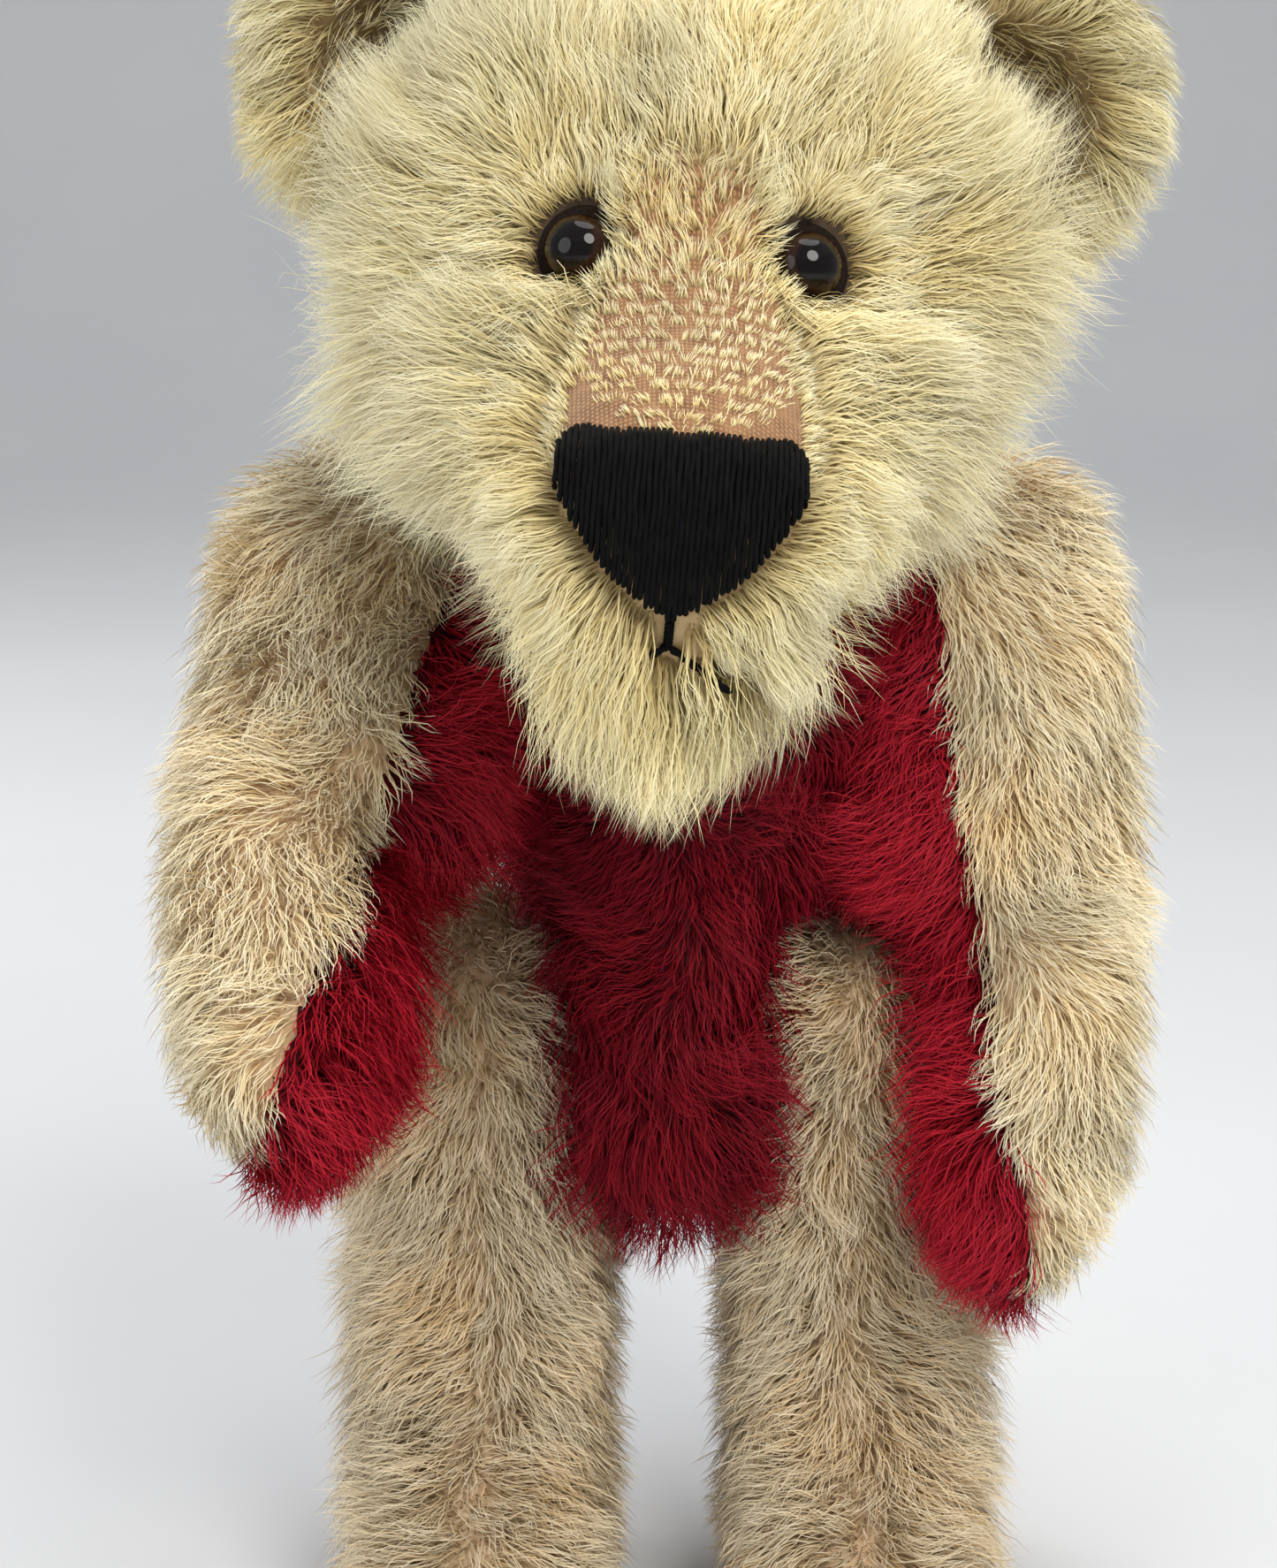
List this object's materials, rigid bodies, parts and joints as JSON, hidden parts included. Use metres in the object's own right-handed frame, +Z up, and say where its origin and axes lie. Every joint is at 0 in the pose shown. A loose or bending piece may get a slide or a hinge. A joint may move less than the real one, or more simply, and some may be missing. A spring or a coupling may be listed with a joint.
{
  "type": "jointed teddy bear",
  "caption": "Standing mohair teddy bear with a turning head and arms and legs that swing on disc joints.",
  "frame": {"origin": "middle of the bear's bounding box on the floor, under the soles", "axes": "+Z up, the bear faces -Y, its left side is +X"},
  "size_m": [0.2002, 0.1866, 0.3801],
  "materials": {
    "blond_mohair": "long, silky, wavy pile",
    "cream_mohair": "medium, shaggy pile",
    "red_mohair": "medium, swirled pile",
    "clipped_cloth": "woven ground with the pile clipped short",
    "stuffing": "polyester fibre",
    "hardboard": "smooth pressed board",
    "insole_card": "plain pressed board",
    "zinc_steel": "zinc plated",
    "sole_suede": "napped suede",
    "black_thread": "cotton thread in satin stitch",
    "black_felt": "wool felt",
    "eye_glass": "polished"
  },
  "bodies": {
    "torso": {"torso_front": "red_mohair", "torso_back": "cream_mohair", "torso_stuffing": "stuffing", "neck_body_disc": "hardboard", "neck_body_washer": "zinc_steel", "shoulder_left_body_disc": "hardboard", "shoulder_left_body_washer": "zinc_steel", "shoulder_right_body_disc": "hardboard", "shoulder_right_body_washer": "zinc_steel", "hip_left_body_disc": "hardboard", "hip_left_body_washer": "zinc_steel", "hip_right_body_disc": "hardboard", "hip_right_body_washer": "zinc_steel"},
    "head": {"head_gusset": "clipped_cloth", "head_side_left": "blond_mohair", "head_side_right": "blond_mohair", "head_stuffing": "stuffing", "ear_left": "blond_mohair", "ear_right": "blond_mohair", "eye_left": "eye_glass", "eye_right": "eye_glass", "eye_felt_left": "black_felt", "eye_felt_right": "black_felt", "nose_and_mouth_embroidery": "black_thread", "neck_limb_disc": "hardboard", "neck_limb_washer": "zinc_steel", "neck_bolt": "zinc_steel", "neck_lock_nut": "zinc_steel"},
    "arm_left": {"arm_left_outer": "cream_mohair", "arm_left_inner": "red_mohair", "arm_left_stuffing": "stuffing", "shoulder_left_limb_disc": "hardboard", "shoulder_left_limb_washer": "zinc_steel", "shoulder_left_bolt": "zinc_steel", "shoulder_left_lock_nut": "zinc_steel"},
    "arm_right": {"arm_right_outer": "cream_mohair", "arm_right_inner": "red_mohair", "arm_right_stuffing": "stuffing", "shoulder_right_limb_disc": "hardboard", "shoulder_right_limb_washer": "zinc_steel", "shoulder_right_bolt": "zinc_steel", "shoulder_right_lock_nut": "zinc_steel"},
    "leg_left": {"leg_left_outer": "cream_mohair", "leg_left_inner": "cream_mohair", "leg_left_stuffing": "stuffing", "leg_left_sole_pad": "sole_suede", "leg_left_insole_board": "insole_card", "hip_left_limb_disc": "hardboard", "hip_left_limb_washer": "zinc_steel", "hip_left_bolt": "zinc_steel", "hip_left_lock_nut": "zinc_steel"},
    "leg_right": {"leg_right_outer": "cream_mohair", "leg_right_inner": "cream_mohair", "leg_right_stuffing": "stuffing", "leg_right_sole_pad": "sole_suede", "leg_right_insole_board": "insole_card", "hip_right_limb_disc": "hardboard", "hip_right_limb_washer": "zinc_steel", "hip_right_bolt": "zinc_steel", "hip_right_lock_nut": "zinc_steel"}
  },
  "joints": [
    {"name": "neck", "type": "hinge", "parent": "torso", "child": "head", "pos_m": [0, 0.04534, 0.264], "axis": [0.073, -0.309, 0.9483], "continuous": true},
    {"name": "shoulder_left", "type": "hinge", "parent": "torso", "child": "arm_left", "pos_m": [0, 0.05534, 0.238], "axis": [-1, 0, 0], "range_deg": [-98, 97]},
    {"name": "shoulder_right", "type": "hinge", "parent": "torso", "child": "arm_right", "pos_m": [0, 0.05534, 0.238], "axis": [-1, 0, 0], "range_deg": [-135, 60]},
    {"name": "hip_left", "type": "hinge", "parent": "torso", "child": "leg_left", "pos_m": [0, 0.05534, 0.132], "axis": [-1, 0, 0], "range_deg": [-75, 90]},
    {"name": "hip_right", "type": "hinge", "parent": "torso", "child": "leg_right", "pos_m": [0, 0.05534, 0.132], "axis": [-1, 0, 0], "range_deg": [-75, 90]}
  ]
}
